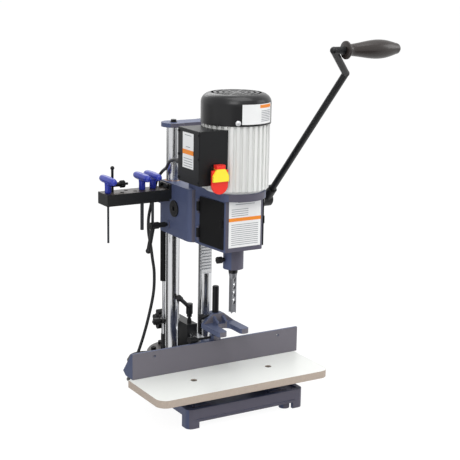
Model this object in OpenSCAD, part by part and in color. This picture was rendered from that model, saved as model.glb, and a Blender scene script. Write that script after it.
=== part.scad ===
// Benchtop mortiser: cast base, two columns, rack-fed head with chisel, fence and hold-down.
// Millimetres. X to the operator's right, -Y towards the operator, Z up from the bench.
// Origin: centre of the four bench bolt holes, on the bench surface.

/* [Base] */
// Width of the base casting
base_w = 318; // [310:1:324]
// Depth of the base casting's straight sides
base_d = 263; // [250:1:280]
// Height of the base casting
base_h = 47; // [42:1:56]
// Thickness of the base casting's walls
base_wall = 8; // [6:1:10]
// Radius of the base casting's rounded tail
tail_r = 98; // [94:1:104]
// Width of a foot
foot_w = 30; // [26:1:36]
// Spacing of the bench bolt holes across the machine
bolt_dx = 250; // [244:1:252]
// Spacing of the bench bolt holes along the machine
bolt_dy = 226; // [216:1:228]
// Diameter of the bench bolt holes
bolt_d = 9; // [8:0.5:11]

/* [Table] */
// Length of the table board
table_w = 460; // [420:1:480]
// Depth of the table board
table_d = 163; // [150:1:175]
// Thickness of the table board
table_t = 18; // [15:1:22]
// Height of the spacers under the table
spacer_h = 28; // [20:1:34]

/* [Fence and hold-down] */
// Length of the fence
fence_w = 460; // [420:1:480]
// Height of the fence above the table
fence_h = 63; // [55:1:70]
// Depth of the fence's foot
fence_foot = 50; // [40:1:56]
// Width of the square bar that carries the fence
bar_w = 20; // [16:1:22]
// Height of the square bar that carries the fence
bar_h = 24; // [20:1:26]
// Diameter of the hold-down post
post_d = 16; // [14:0.5:18]
// Height of the hold-down post's top
post_top = 290; // [270:1:300]
// Width over the hold-down fork
fork_w = 84; // [76:1:92]
// Width of the slot in the hold-down fork
fork_slot = 36; // [30:1:42]

/* [Columns] */
// Diameter of the columns
col_d = 35; // [32:0.5:38]
// Distance between the column axes
col_dx = 92; // [88:1:98]
// Height of the column tops
col_top = 661; // [645:1:680]
// Radius of the round foot that holds the columns
foot_r = 85; // [84:1:90]
// Height of the round foot above the base
foot_h = 30; // [24:1:36]

/* [Head] */
// Width of the carriage that rides on the columns
car_w = 146; // [142:1:150]
// Height of the carriage
car_h = 126; // [122:1:134]
// Height of the carriage's underside with the head raised
car_z = 404; // [400:1:410]
// Width of the front housing where it joins the carriage
house_w = 120; // [114:1:126]
// Diameter of the nose that holds the chisel
nose_d = 48; // [44:1:52]
// Side of the square hollow chisel
chisel_w = 12.7; // [9:0.1:14]
// Height of the chisel's tip with the head raised
chisel_tip = 244; // [236:1:256]

/* [Motor] */
// Outside diameter of the motor body
motor_d = 156; // [150:1:160]
// Length of the motor body
motor_h = 148; // [140:1:156]
// Outside diameter of the fan cover
cover_d = 161; // [158:1:166]

/* [Feed lever] */
// Module of the feed rack and pinion
gear_m = 2.5; // [2.5:0.5:2.5]
// Diameter of the lever rod
rod_d = 16; // [14:0.5:18]
// Length of the lever rod from the hub to its first bend
rod_l = 467; // [430:1:490]

/* [Tool rack] */
// Length of the tool rack bar
rack_l = 163; // [150:1:175]
// Depth of the tool rack bar
rack_d = 52; // [46:1:56]
// Height of the tool rack bar
rack_h = 28; // [24:1:32]

/* [Cord] */
// Diameter of the mains cord
cord_d = 7.6; // [7:0.1:8.2]

/* [Hidden] */
$fn = 64;

tiny = 0.01;          // lets a cut run past a face
seat = 0.05;          // clearance of a fixed round seat
run = 0.06;           // radial clearance of a running fit
air = 0.3;            // clearance between parts that pass each other

front_y = -133;                      // front of the base
side_y = front_y + base_d;           // where the sides end
taper_y = -60;                       // the sides taper from here to the back
base_taper = 8;
base_x = 8;                          // the base reaches further to the right of the columns
tail_y = 185;                        // centre of the rounded tail and of the column foot
pad_x = 103;                         // machined pads and table bolts
pad_w = 45;
pad_z = base_h + 1;
board_z = pad_z + spacer_h;
board_top = board_z + table_t;
board_x = -8;                        // the board sits a little to the left
board_bolt_y = -72;

chisel_y = -70;                      // axis of chisel, chuck and motor
col_y = 143;
col_x = col_dx / 2;
col_r = col_d / 2;
foot_z = base_h + foot_h;

fence_y = -6;                        // front face of the fence
fence_t = 6.5;
fence_z = board_top + air;
fence_top = board_top + fence_h;
post_y = fence_y + fence_t + post_d / 2 + 0.5;
post_boss_r = post_d / 2 + 6;
post_boss_top = fence_top + 11;
bar_top = 140;
bar_y0 = 25;
bar_y1 = 280;
block_w = bar_w + 8;
block_y0 = 122;
block_y1 = 262;
block_top = 161.5;
block_lever_y = 138;
knob_m = 1.25;                       // module of the fence feed
knob_n = 14;
knob_r = knob_m * knob_n / 2;
knob_y = 240;
knob_z = bar_top - knob_m + knob_r + 0.35;
fork_z = 191;
fork_t = 12;
fork_top = 224;
fork_boss_r = post_d / 2 + 7;

car_y0 = 6;
car_y1 = 158;
car_top = car_z + car_h;
pin_y = 85;                          // pinion axis
pin_z = 471.5;
pitch_y = col_y - 8;                 // pitch line of the column rack
pin_n = round(2 * (pitch_y - pin_y) / gear_m);
pin_r = gear_m * pin_n / 2;
pin_shaft_r = 12;
pin_w = 18;
boss_x = 165;                        // end of the pinion bearing on the right
lever_x = 184.7;
lever_tilt = 47.3;
flange_z = 524;
flange_top = 541;
house_y = -117;                      // front of the housing
house_front_w = 98;
house_wall = 7;
door_y0 = -112;
door_y1 = -19;
door_t = 3;
door_z0 = 411;
door_z1 = 520;
hinge_x = 65.14;                      // axis of the door hinges
hinge_y = -15.42;
hinge_r = 1.44;
knuckle_h = 22;
knuckle_z = [door_z0 + 12, door_z1 - 34];
nose_z = 353;
bell_top = 548;
motor_top = bell_top + motor_h;
motor_r = motor_d / 2;
cover_r = cover_d / 2;

box_x0 = -126;
box_x1 = -50;
box_y0 = -127;
box_y1 = -30;
box_z0 = 566;
box_z1 = 688;
sheet = 2;
switch_x = -81;

spring_x = -52;
spring_y = 178;
spring_z0 = 268;
spring_z1 = 468;
spring_r = 9;
spring_rod_r = 4;

holder_y = 126;                      // centre line of the tool rack
holder_z = 488;
holder_top = holder_z + rack_h;
holder_x1 = -car_w / 2 - 6;
holder_bolt_y = [110, 142];
holder_bolt_z = 522.4;
lock_y = 117.4;                      // axis of the head lock
lock_z = 427;

cord_r = cord_d / 2;
gland_x = -116;
gland_z = 606;

// Colours as the photograph shows them
paint = [0.27, 0.31, 0.43];
black = [0.07, 0.07, 0.08];
steel = [0.72, 0.73, 0.75];
alu = [0.85, 0.85, 0.84];
blue = [0.2, 0.25, 0.63];

// ---- shared shapes ----
module rod_x(x0, x1, r, y, z) {
    translate([x0, y, z]) rotate([0, 90, 0]) cylinder(r = r, h = x1 - x0);
}

module rod_y(y0, y1, r, x, z) {
    translate([x, y0, z]) rotate([-90, 0, 0]) cylinder(r = r, h = y1 - y0);
}

module rod_z(z0, z1, r, x, y) {
    translate([x, y, z0]) cylinder(r = r, h = z1 - z0);
}

module block(a, b) {
    translate(a) cube(b - a);
}

// Flat plate outline with rounded corners, from its low corner to its high corner
module rounded(a, b, r) {
    for (x = [a.x + r, b.x - r], y = [a.y + r, b.y - r]) translate([x, y]) circle(r = r);
    translate([a.x + r, a.y]) square([b.x - a.x - 2 * r, b.y - a.y]);
    translate([a.x, a.y + r]) square([b.x - a.x, b.y - a.y - 2 * r]);
}

// Straight rod between two points
module strut(p, q, r) {
    d = q - p;
    l = norm(d);
    translate(p) rotate([0, acos(d.z / l), atan2(d.y, d.x)]) cylinder(r = r, h = l);
}

// Outline of one gap between rack teeth of module m, cut in the +Y direction
module rack_gap(m) {
    polygon([[-1.15 * m, -tiny], [-0.33 * m, 2.25 * m], [0.33 * m, 2.25 * m], [1.15 * m, -tiny]]);
}

// Spur gear outline with straight-flanked teeth
module gear_outline(m, n) {
    r = m * n / 2;
    polygon([for (i = [0:n - 1], p = [[-1.05, -1.25], [-0.34, 0.95], [0.34, 0.95], [1.05, -1.25]])
        let (a = i * 360 / n, rr = r + p.y * m, w = p.x * m)
            [rr * cos(a) - w * sin(a), rr * sin(a) + w * cos(a)]]);
}

// Lobed hand knob along +X from the origin
module lobed_knob(r, t, lobes) {
    rotate([0, 90, 0]) {
        cylinder(r = r * 0.62, h = t);
        for (i = [0:lobes - 1]) rotate(i * 360 / lobes)
            translate([r * 0.7, 0, 0]) cylinder(r = r * 0.3, h = t);
    }
}

// Small ribbed clamp knob, axis along X
module clamp_knob(r, t, y, z, x) {
    difference() {
        rod_x(x, x + t, r, y, z);
        for (i = [0:7]) rod_x(x - tiny, x + t * 0.7, r * 0.16,
            y + r * 1.02 * cos(i * 45), z + r * 1.02 * sin(i * 45));
    }
}

// ---- base ----
module base_outline(inset) {
    x0 = base_x - base_w / 2 + inset;
    x1 = base_x + base_w / 2 - inset;
    r = tail_r - inset;
    rounded([x0, front_y + inset], [x1, taper_y], 14 - inset * 0.6);
    translate([0, tail_y]) circle(r = r);
    polygon([[x0, taper_y - 20], [x1, taper_y - 20], [x1, taper_y],
        [x1 - base_taper, side_y - inset - 10], [x1 - base_taper - 5, side_y - inset],
        [r * cos(26), tail_y + r * sin(26)], [-r * cos(26), tail_y + r * sin(26)],
        [x0 + base_taper + 5, side_y - inset], [x0 + base_taper, side_y - inset - 10],
        [x0, taper_y]]);
}

foot_bolt_angles = [154, 110, 70, 26];
foot_bolt_r = 68;

module at_foot_bolts() {
    for (a = foot_bolt_angles)
        translate([foot_bolt_r * cos(a), tail_y + foot_bolt_r * sin(a), 0]) children();
}

module at_columns() {
    for (s = [-1, 1]) translate([s * col_x, col_y, 0]) children();
}

module base_casting() {
    lip_z = 22;
    arch_z = 15;
    side_z = 28;
    x0 = base_x - base_w / 2;
    x1 = base_x + base_w / 2;
    color(paint) difference() {
        union() {
            difference() {
                linear_extrude(base_h) base_outline(0);
                translate([0, 0, -1]) linear_extrude(base_h - base_wall + 1) base_outline(base_wall);
                block([x0 + foot_w, front_y - 5, -1], [x1 - foot_w, front_y + base_wall + 5, arch_z]);
                block([x0 - 5, front_y + foot_w, -1], [x1 + 5, side_y - 44, side_z]);
                block([x0 - 5, side_y, -1], [-26, 300, arch_z]);
                block([26, side_y, -1], [x1 + 5, 300, arch_z]);
                // shallow well round the machined pads
                block([x0 + 11, front_y + 11, base_h - 5], [x1 - 11, -4, base_h + 1]);
            }
            // line of the moulding on the front wall
            block([x0 + foot_w - 6, front_y - 1.5, lip_z - 2],
                [x1 - foot_w + 6, front_y + 1, lip_z]);
            for (s = [-1, 1]) translate([s * pad_x, 0, 0])
                block([-pad_w / 2, front_y + 15, base_h - 7], [pad_w / 2, -8, pad_z]);
            // bosses and foot pads at the bench bolts
            for (x = [-1, 1], y = [-1, 1]) translate([x * bolt_dx / 2, y * bolt_dy / 2, 0])
                cylinder(r = 13, h = base_h - 5.5);
            // ribs under the top
            for (s = [-1, 1])
                block([s * 50 - 3, front_y + 5, side_z], [s * 50 + 3, side_y + 60, base_h - 6]);
            // seats under the columns
            at_columns() cylinder(r = col_r + 8, h = base_h - 5);
        }
        for (x = [-1, 1], y = [-1, 1]) translate([x * bolt_dx / 2, y * bolt_dy / 2, -1])
            cylinder(r = bolt_d / 2, h = base_h + 2);
        for (s = [-1, 1]) rod_z(base_h - 9, pad_z + 1, 4 + seat, s * pad_x, board_bolt_y);
        at_foot_bolts() translate([0, 0, base_h - base_wall - 1]) cylinder(r = 4 + seat, h = 20);
        at_columns() translate([0, 0, -1]) cylinder(r = 7, h = base_h - 5);
    }
}

module column_foot() {
    color(black) difference() {
        union() {
            rod_z(base_h, foot_z - 4, foot_r, 0, tail_y);
            rod_z(foot_z - 4, foot_z, foot_r - 3, 0, tail_y);
        }
        at_columns() translate([0, 0, base_h + 6]) cylinder(r = col_r + seat, h = foot_h);
        at_foot_bolts() translate([0, 0, base_h - 1]) cylinder(r = 4.4, h = foot_h + 2);
        rod_z(foot_z - 12, foot_z + 1, 5 + seat, spring_x, spring_y);
    }
}

module foot_bolts() {
    color(black) at_foot_bolts() {
        translate([0, 0, base_h - base_wall + 1]) cylinder(r = 4, h = foot_z - base_h + base_wall - 1);
        difference() {
            translate([0, 0, foot_z]) cylinder(r = 6.5, h = 8);
            translate([0, 0, foot_z + 4]) cylinder(r = 3.4, h = 5, $fn = 6);
        }
    }
}

// ---- table ----
module table_spacers() {
    color(black) for (s = [-1, 1]) difference() {
        block([s * pad_x - 19, front_y + 40, pad_z], [s * pad_x + 19, -12, board_z]);
        rod_z(pad_z - 1, board_z + 1, 4.5, s * pad_x, board_bolt_y);
    }
}

module table_board() {
    color("whitesmoke") difference() {
        translate([board_x, 0, board_z]) linear_extrude(table_t) {
            for (s = [-1, 1]) translate([s * (table_w / 2 - 25), -table_d + 25]) circle(r = 25);
            translate([-table_w / 2 + 25, -table_d]) square([table_w - 50, 26]);
            translate([-table_w / 2, -table_d + 25]) square([table_w, table_d - 25]);
        }
        for (s = [-1, 1]) {
            rod_z(board_z - 1, board_top + 1, 4.5, s * pad_x, board_bolt_y);
            rod_z(board_top - 11, board_top + 1, 8, s * pad_x, board_bolt_y);
        }
    }
}

module table_bolts() {
    color(black) for (s = [-1, 1]) {
        rod_z(base_h - 8, board_top - 11, 4, s * pad_x, board_bolt_y);
        difference() {
            rod_z(board_top - 11, board_top - 3, 6.5, s * pad_x, board_bolt_y);
            translate([s * pad_x, board_bolt_y, board_top - 7]) cylinder(r = 3.4, h = 5, $fn = 6);
        }
    }
}

// ---- columns ----
module column_left() {
    color(steel) difference() {
        rod_z(base_h + 6, col_top, col_r, -col_x, col_y);
        rod_z(col_top - 22, col_top + 1, 4 + seat, -col_x, col_y);
    }
}

module column_rack() {
    flat_y = pitch_y - gear_m;
    pitch = PI * gear_m;
    teeth_n = 26;
    teeth_z = pin_z - 22.5 * pitch;
    color(steel) difference() {
        rod_z(base_h + 6, col_top, col_r, col_x, col_y);
        rod_z(col_top - 22, col_top + 1, 4 + seat, col_x, col_y);
        // milled flat and the teeth in it
        block([0, col_y - col_r - 2, teeth_z - 8], [col_x + col_r + 2, flat_y, col_top - 130]);
        translate([0, flat_y, teeth_z]) rotate([0, 90, 0]) linear_extrude(col_x + col_r + 2)
            for (i = [0:teeth_n - 1]) translate([-(i + 0.5) * pitch, 0]) rack_gap(gear_m);
        // line below the teeth
        block([col_x - 1, col_y - col_r - 1, foot_z + 60], [col_x + 1, col_y - col_r + 1.2, teeth_z]);
    }
}

module top_plate() {
    plate_w = 50;
    plate_t = 10;
    color(paint) translate([0, col_y, col_top]) difference() {
        linear_extrude(plate_t) {
            for (s = [-1, 1]) translate([s * col_x, 0]) circle(r = 30);
            square([2 * col_x, plate_w], center = true);
        }
        for (s = [-1, 1]) translate([s * col_x, 0, -1]) cylinder(r = 4.4, h = plate_t + 2);
    }
}

module top_bolts() {
    color(black) for (s = [-1, 1]) {
        rod_z(col_top - 20, col_top + 10, 4, s * col_x, col_y);
        rod_z(col_top + 10, col_top + 11.6, 8.5, s * col_x, col_y);
        translate([s * col_x, col_y, col_top + 11.6]) cylinder(r = 7.5, h = 5, $fn = 6);
    }
}

// ---- counterbalance spring and depth stop ----
module spring_rod() {
    color(steel) {
        rod_z(foot_z + 50, 350, spring_rod_r, spring_x, spring_y);
        rod_z(342, 350, spring_r - 1.6, spring_x, spring_y);
    }
    color(black) {
        rod_z(foot_z + 6, foot_z + 52, 6.5, spring_x, spring_y);
        translate([spring_x, spring_y, foot_z]) cylinder(r = 9, h = 7, $fn = 6);
        rod_z(foot_z - 11, foot_z + 1, 5, spring_x, spring_y);
    }
}

module spring_body() {
    color(black) difference() {
        union() {
            rod_z(spring_z0, spring_z1, spring_r, spring_x, spring_y);
            rod_z(spring_z1 - 1, spring_z1 + 22, 4, spring_x, spring_y);
            translate([spring_x, spring_y, spring_z1 + 16 + air]) cylinder(r = 7, h = 6, $fn = 6);
        }
        rod_z(spring_z0 - 1, spring_z0 + 11, spring_rod_r + run, spring_x, spring_y);
        rod_z(spring_z0 + 10, spring_z1 - 6, spring_r - 1.5, spring_x, spring_y);
    }
}

stop_z = 158;
stop_h = 11;

module stop_collar() {
    z = stop_z + stop_h / 2;
    color(black) {
        difference() {
            rod_z(stop_z, stop_z + stop_h, 9, spring_x, spring_y);
            rod_z(stop_z - 1, stop_z + stop_h + 1, spring_rod_r + run, spring_x, spring_y);
        }
        rod_x(spring_x - 14, spring_x - 8, 3, spring_y, z);
        rod_x(spring_x - 27, spring_x - 13, 8.5, spring_y, z);
        translate([spring_x - 27, spring_y, z]) sphere(r = 5);
    }
}

// ---- fence carriage ----
module fence_block() {
    color(black) difference() {
        block([-block_w / 2, block_y0, foot_z], [block_w / 2, block_y1, block_top]);
        block([-bar_w / 2 - seat, block_y0 - 1, bar_top - bar_h - seat],
            [bar_w / 2 + seat, block_y1 + 1, bar_top + seat]);
        // pocket and bearing of the feed pinion
        rod_x(-6, 6, knob_r + knob_m + 0.5, knob_y, knob_z);
        block([-6, knob_y - 9, bar_top - 1], [6, knob_y + 9, knob_z]);
        rod_x(-block_w / 2 - 1, block_w / 2 + 1, 4 + run, knob_y, knob_z);
        rod_z(bar_top - 1, block_top + 1, 4 + run, 0, block_lever_y);
    }
}

module block_lever() {
    color(black) {
        rod_z(bar_top + 0.4, block_top + 20, 4, 0, block_lever_y);
        rod_z(block_top + 0.4, block_top + 10, 5.5, 0, block_lever_y);
        rod_z(block_top + 16, block_top + 25, 6.5, 0, block_lever_y);
        rod_z(block_top + 24, block_top + 50, 8.5, 0, block_lever_y);
        strut([0, block_lever_y, block_top + 40], [-42, block_lever_y - 25, block_top + 76], 5);
        strut([-37, block_lever_y - 22, block_top + 71.7], [-46, block_lever_y - 27.4, block_top + 79.4], 6.8);
    }
}

module fence_end(x0) {
    translate([x0, 0, 0]) rotate([90, 0, 90]) linear_extrude(fence_t)
        polygon([[fence_y, fence_z], [fence_y + 36, fence_z], [fence_y + fence_foot, fence_z + 9],
            [fence_y + fence_t, fence_top], [fence_y, fence_top]]);
}

module fence() {
    w = fence_w / 2;
    screw_z = fence_top - 13;
    color(paint) difference() {
        union() {
            block([-w, fence_y, fence_z], [w, fence_y + fence_t, fence_top]);
            block([-w, fence_y, fence_z], [w, fence_y + 36, fence_z + 7]);
            for (x = [-w, -w / 2, w / 2 - fence_t, w - fence_t]) fence_end(x);
            // bracket for the bar and boss for the post
            block([-22, fence_y + 2, fence_z], [22, bar_y0 + 23, fence_z + 16]);
            block([-bar_w / 2 - 8, fence_y + 2, fence_z], [bar_w / 2 + 8, bar_y0 + 23, bar_top + 8]);
            rod_z(fence_z, post_boss_top, post_boss_r, 0, post_y);
        }
        for (s = [-1, 1]) rod_y(fence_y - 1, fence_y + fence_t + 1, 3, s * 172, screw_z);
        rod_z(fence_z - 1, post_boss_top + 1, post_d / 2 + run, 0, post_y);
        block([-bar_w / 2 - seat, bar_y0, bar_top - bar_h - seat],
            [bar_w / 2 + seat, bar_y0 + 30, bar_top + seat]);
        rod_x(-40, 0, 3 + run, post_y, fence_top + 5);
    }
}

module fence_bar() {
    pitch = PI * knob_m;
    n = 25;
    color(steel) difference() {
        block([-bar_w / 2, bar_y0, bar_top - bar_h], [bar_w / 2, bar_y1, bar_top]);
        // rack milled in the top, as long as the travel needs
        translate([-5, knob_y, bar_top]) rotate([90, 0, 90]) linear_extrude(10)
            for (i = [0:n - 1]) translate([(i - 16.5) * pitch, 0]) mirror([0, 1]) rack_gap(knob_m);
    }
}

module feed_knob() {
    color(black) {
        translate([-5, knob_y, knob_z]) rotate([0, 90, 0]) rotate(180 / knob_n)
            linear_extrude(10) gear_outline(knob_m, knob_n);
        rod_x(-block_w / 2 - 8, block_w / 2 + 1, 4, knob_y, knob_z);
        translate([-block_w / 2 - 24, knob_y, knob_z]) lobed_knob(26, 16, 4);
        rod_x(-block_w / 2 - 29, -block_w / 2 - 4, 10, knob_y, knob_z);
        translate([block_w / 2 + 0.4, 0, 0]) rod_x(0, 3, 7, knob_y, knob_z);
    }
}

module hold_down_post() {
    color(black) {
        rod_z(fence_z + 4, post_top - 1.5, post_d / 2, 0, post_y);
        rod_z(post_top - 2, post_top, post_d / 2 - 1.5, 0, post_y);
    }
}

module post_knob() {
    z = fence_top + 5;
    color(black) {
        rod_x(-60, -post_d / 2 - air, 3, post_y, z);
        clamp_knob(9, 16, post_y, z, -72);
        rod_x(-56.5, -50, 6, post_y, z);
    }
}

module fork() {
    w = fork_w / 2;
    root_y = -40;
    tip_y = -83;
    prong = (fork_w - fork_slot) / 2;
    color(paint) difference() {
        union() {
            rod_z(fork_z, fork_top, fork_boss_r, 0, post_y);
            translate([0, post_y - 6, 0]) rotate([90, 0, 0]) linear_extrude(9)
                polygon([[-w, fork_z], [w, fork_z], [w, fork_z + fork_t], [fork_boss_r, fork_top],
                    [-fork_boss_r, fork_top], [-w, fork_z + fork_t]]);
            translate([0, 0, fork_z]) linear_extrude(fork_t) {
                translate([-w, tip_y + 10]) square([fork_w, post_y - 8 - tip_y - 10]);
                for (s = [-1, 1], e = [-1, 1])
                    translate([s * (w - prong / 2) + e * (prong / 2 - 10), tip_y + 10]) circle(r = 10);
                for (s = [-1, 1]) translate([s * (w - prong / 2) - prong / 2 + 10, tip_y])
                    square([prong - 20, 12]);
            }
            // web down the middle of the boss
            for (s = [-1, 1]) translate([s * 12 - 3, 0, 0]) rotate([90, 0, 90]) linear_extrude(6)
                polygon([[post_y - 10, fork_z + 4], [post_y - 44, fork_z + 4],
                    [post_y - 44, fork_z + fork_t], [post_y - 12, fork_top - 3]]);
        }
        translate([0, 0, fork_z - 1]) linear_extrude(60) {
            translate([0, root_y]) circle(r = fork_slot / 2);
            translate([-fork_slot / 2, tip_y - 5]) square([fork_slot, root_y - tip_y + 5]);
        }
        rod_z(fork_z - 1, fork_top + 1, post_d / 2 + run, 0, post_y);
        rod_x(-40, 0, 3 + run, post_y, fork_top - 7);
    }
}

module fork_knob() {
    z = fork_top - 7;
    color(black) {
        rod_x(-36, -post_d / 2 - air, 3, post_y, z);
        clamp_knob(7, 10, post_y, z, -44);
        rod_x(-34.5, -31, 4.5, post_y, z);
    }
}

// ---- head ----
module car_outline() {
    r = 18;
    w = car_w / 2;
    for (s = [-1, 1]) translate([s * (w - r), car_y0 + r]) circle(r = r);
    translate([-w + r, car_y0]) square([2 * (w - r), r + 1]);
    translate([-w, car_y0 + r]) square([2 * w, car_y1 - car_y0 - r]);
}

module house_outline(inset) {
    w = house_w / 2 - inset;
    f = house_front_w / 2 - inset;
    r = 9 - inset * 0.5;
    y = house_y + inset;
    for (s = [-1, 1]) translate([s * (f + 3 - r), y + r]) circle(r = r);
    polygon([[-w, car_y0 + 20], [-w, door_y1], [-f - 3, y + r], [-f - 3 + r, y],
        [f + 3 - r, y], [f + 3, y + r], [w, door_y1], [w, car_y0 + 20]]);
}

module flange_outline() {
    w = house_w / 2;
    intersection() {
        translate([0, chisel_y]) circle(r = motor_r - 6);
        translate([-w, -200]) square([2 * w, 200]);
    }
    translate([-w, chisel_y]) square([2 * w, 40 - chisel_y]);
}

module head_casting() {
    gear_r = pin_r + gear_m + 1.5;
    bush_r = col_r + 3.5;
    color(paint) difference() {
        union() {
            translate([0, 0, car_z]) linear_extrude(car_h) car_outline();
            translate([0, 0, car_z]) linear_extrude(flange_z - car_z + 1) house_outline(0);
            translate([0, 0, flange_z]) linear_extrude(flange_top - flange_z) flange_outline();
            rod_z(nose_z, car_z + 1, nose_d / 2, 0, chisel_y);
            rod_x(car_w / 2 - 1, boss_x, 20, pin_y, pin_z);
            // ear for the top of the gas spring
            block([spring_x - 14, car_y1 - 1, spring_z1], [spring_x + 14, spring_y + 12, spring_z1 + 16]);
            rod_x(-car_w / 2 - 3, -car_w / 2 + 1, 10, lock_y, lock_z);
            // hinge lugs and pins of the two doors
            for (s = [-1, 1], z = knuckle_z) {
                rod_z(z - 6, z + knuckle_h + 6, hinge_r, s * hinge_x, hinge_y);
                for (lug_z = [z - 6, z + knuckle_h + air]) {
                    rod_z(lug_z, lug_z + 6 - air, 4, s * hinge_x, hinge_y);
                    translate([s * (hinge_x - 3.5), hinge_y, lug_z + 3 - air / 2])
                        cube([7, 5, 6 - air], center = true);
                }
            }
        }
        translate([0, 0, door_z0 - 1]) linear_extrude(flange_z - door_z0 - 2)
            intersection() {
                house_outline(house_wall);
                translate([-100, house_y]) square([200, door_y1 - house_y - 4]);
            }
        // door windows
        block([-80, door_y0 + 9, door_z0 + 7], [80, door_y1 - 9, door_z1 - 7]);
        rod_z(flange_z - 10, flange_top + 1, 30, 0, chisel_y);
        rod_z(nose_z - 1, door_z0 + 1, 9.5 + seat, 0, chisel_y);
        at_columns() translate([0, 0, car_z - 1]) cylinder(r = bush_r + seat, h = car_h + 2);
        // pocket of the pinion and bore of its shaft
        rod_x(30, 62, gear_r, pin_y, pin_z);
        rod_x(-car_w / 2 + 4, boss_x + 1, pin_shaft_r + run, pin_y, pin_z);
        rod_x(-car_w / 2 - 1, -car_w / 2 + 5, 16 + seat, pin_y, pin_z);
        rod_z(spring_z1 - 1, spring_z1 + 17, 4 + seat, spring_x, spring_y);
        rod_x(-car_w / 2 - 4, -30, 4 + run, lock_y, lock_z);
        rod_x(-nose_d, 0, 3 + run, chisel_y, 376);
        for (y = holder_bolt_y) rod_x(-car_w / 2 - 1, -car_w / 2 + 4.5, 3 + seat, y, holder_bolt_z);
    }
}

module column_bushes() {
    bush_r = col_r + 3.5;
    bush_h = 20;
    color("peru") at_columns() for (z = [car_z, car_top - bush_h]) translate([0, 0, z])
        difference() {
            cylinder(r = bush_r, h = bush_h);
            translate([0, 0, -1]) cylinder(r = col_r + run, h = bush_h + 2);
        }
}

module feed_pinion() {
    color(steel) {
        difference() {
            translate([col_x - pin_w / 2, pin_y, pin_z]) rotate([0, 90, 0])
                linear_extrude(pin_w) gear_outline(gear_m, pin_n);
            for (a = [0:60:300]) rod_x(col_x - pin_w, col_x + pin_w, 9,
                pin_y + 31 * cos(a), pin_z + 31 * sin(a));
        }
        rod_x(-car_w / 2 + 6, boss_x + 26, pin_shaft_r, pin_y, pin_z);
    }
    color(black) rod_x(boss_x + air, boss_x + 6, 17, pin_y, pin_z);
}

module pinion_cap() {
    color(black) difference() {
        union() {
            rod_x(-car_w / 2, -car_w / 2 + 4, 16, pin_y, pin_z);
            rod_x(-car_w / 2 - 3, -car_w / 2, 20, pin_y, pin_z);
        }
        translate([-car_w / 2 - 4, pin_y, pin_z]) rotate([0, 90, 0]) cylinder(r = 6, h = 5, $fn = 6);
    }
}

// ---- feed lever ----
lever_dir = [0, -cos(lever_tilt), sin(lever_tilt)];
lever_hub = [lever_x, pin_y, pin_z];
bend_1 = lever_hub + rod_l * lever_dir;
bend_2 = bend_1 + [-70.7, -50, 56];
grip_x0 = 30;
grip_l = 148;

module lever_boss() {
    color(black) difference() {
        union() {
            rod_x(boss_x + 6 + air, boss_x + 31, 17, pin_y, pin_z);
            rod_x(boss_x + 31, boss_x + 34, 14, pin_y, pin_z);
            strut(lever_hub + 8 * lever_dir, lever_hub + 44 * lever_dir, 12);
        }
        rod_x(boss_x + 5, boss_x + 27, pin_shaft_r + run, pin_y, pin_z);
        strut(lever_hub + 13 * lever_dir, lever_hub + 50 * lever_dir, rod_d / 2 + seat);
    }
}

module lever_rod() {
    color(black) {
        strut(lever_hub + 13.5 * lever_dir, bend_1, rod_d / 2);
        for (p = [bend_1, bend_2]) translate(p) sphere(r = rod_d / 2 + 0.4);
        strut(bend_1, bend_2, rod_d / 2);
        translate(bend_2) rotate([0, 90, 0]) cylinder(r = rod_d / 2, h = grip_x0 - 2);
        translate(bend_2) rotate([0, 90, 0]) cylinder(r = 5, h = grip_x0 + grip_l - 12);
    }
}

// Pear-shaped grip that turns on the rod's end
module lever_grip() {
    belly = 21;
    neck = 12.5;
    color(black) translate(bend_2 + [grip_x0, 0, 0]) rotate([0, 90, 0]) rotate_extrude()
        polygon(concat([[5 + run, 0], [20, 0], [20, 4], [neck + 2, 9]],
            [for (t = [0.15:0.1:0.95]) [neck + (belly - neck) * sin(180 * pow(t, 1.5)) * 0.99,
                t * (grip_l - 12)]],
            [for (a = [10:20:90]) [neck * cos(a) + 0.5, grip_l - 12 + 12 * sin(a)]],
            [[0, grip_l], [0, grip_l - 10], [5 + run, grip_l - 10]]));
}

module head_lock() {
    hub_x = -car_w / 2 - 3;
    color(black) {
        rod_x(hub_x - 10, -32, 4, lock_y, lock_z);
        rod_x(hub_x - 26, hub_x - 6, 6.5, lock_y, lock_z);
        rod_x(hub_x - 46, hub_x - 24, 8.5, lock_y, lock_z);
        strut([hub_x - 38, lock_y, lock_z - 3], [-126, lock_y, lock_z - 61], 5.5);
        translate([-126, lock_y, lock_z - 61]) sphere(r = 7);
    }
}

// ---- motor ----
module end_bell() {
    color(alu) difference() {
        union() {
            rod_z(flange_top, bell_top, motor_r - 11, 0, chisel_y);
            rod_z(flange_top, bell_top + 12, 24, 0, chisel_y);
            rod_z(flange_top - 6, flange_top + 1, 30 - seat, 0, chisel_y);
        }
        rod_z(flange_top - 7, bell_top + 13, 12, 0, chisel_y);
        rod_z(flange_top + 4, bell_top + 13, 17.5 + seat, 0, chisel_y);
    }
}

module motor_body() {
    rib_n = 34;
    rib_h = 5;
    color(alu) translate([0, chisel_y, bell_top]) difference() {
        linear_extrude(motor_h) {
            circle(r = motor_r - rib_h);
            for (i = [0:rib_n - 1]) rotate(i * 360 / rib_n)
                translate([motor_r - rib_h - 1, -3.6]) square([rib_h + 1, 7.2]);
        }
        translate([0, 0, -1]) cylinder(r = motor_r - rib_h - 7, h = motor_h - 15);
        translate([0, 0, motor_h - 8]) cylinder(r = motor_r - rib_h - 7, h = 20);
        translate([0, 0, motor_h - 30]) cylinder(r = 17.5 + seat, h = 40);
    }
}

stator_r = motor_r - 12 - seat;

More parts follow.
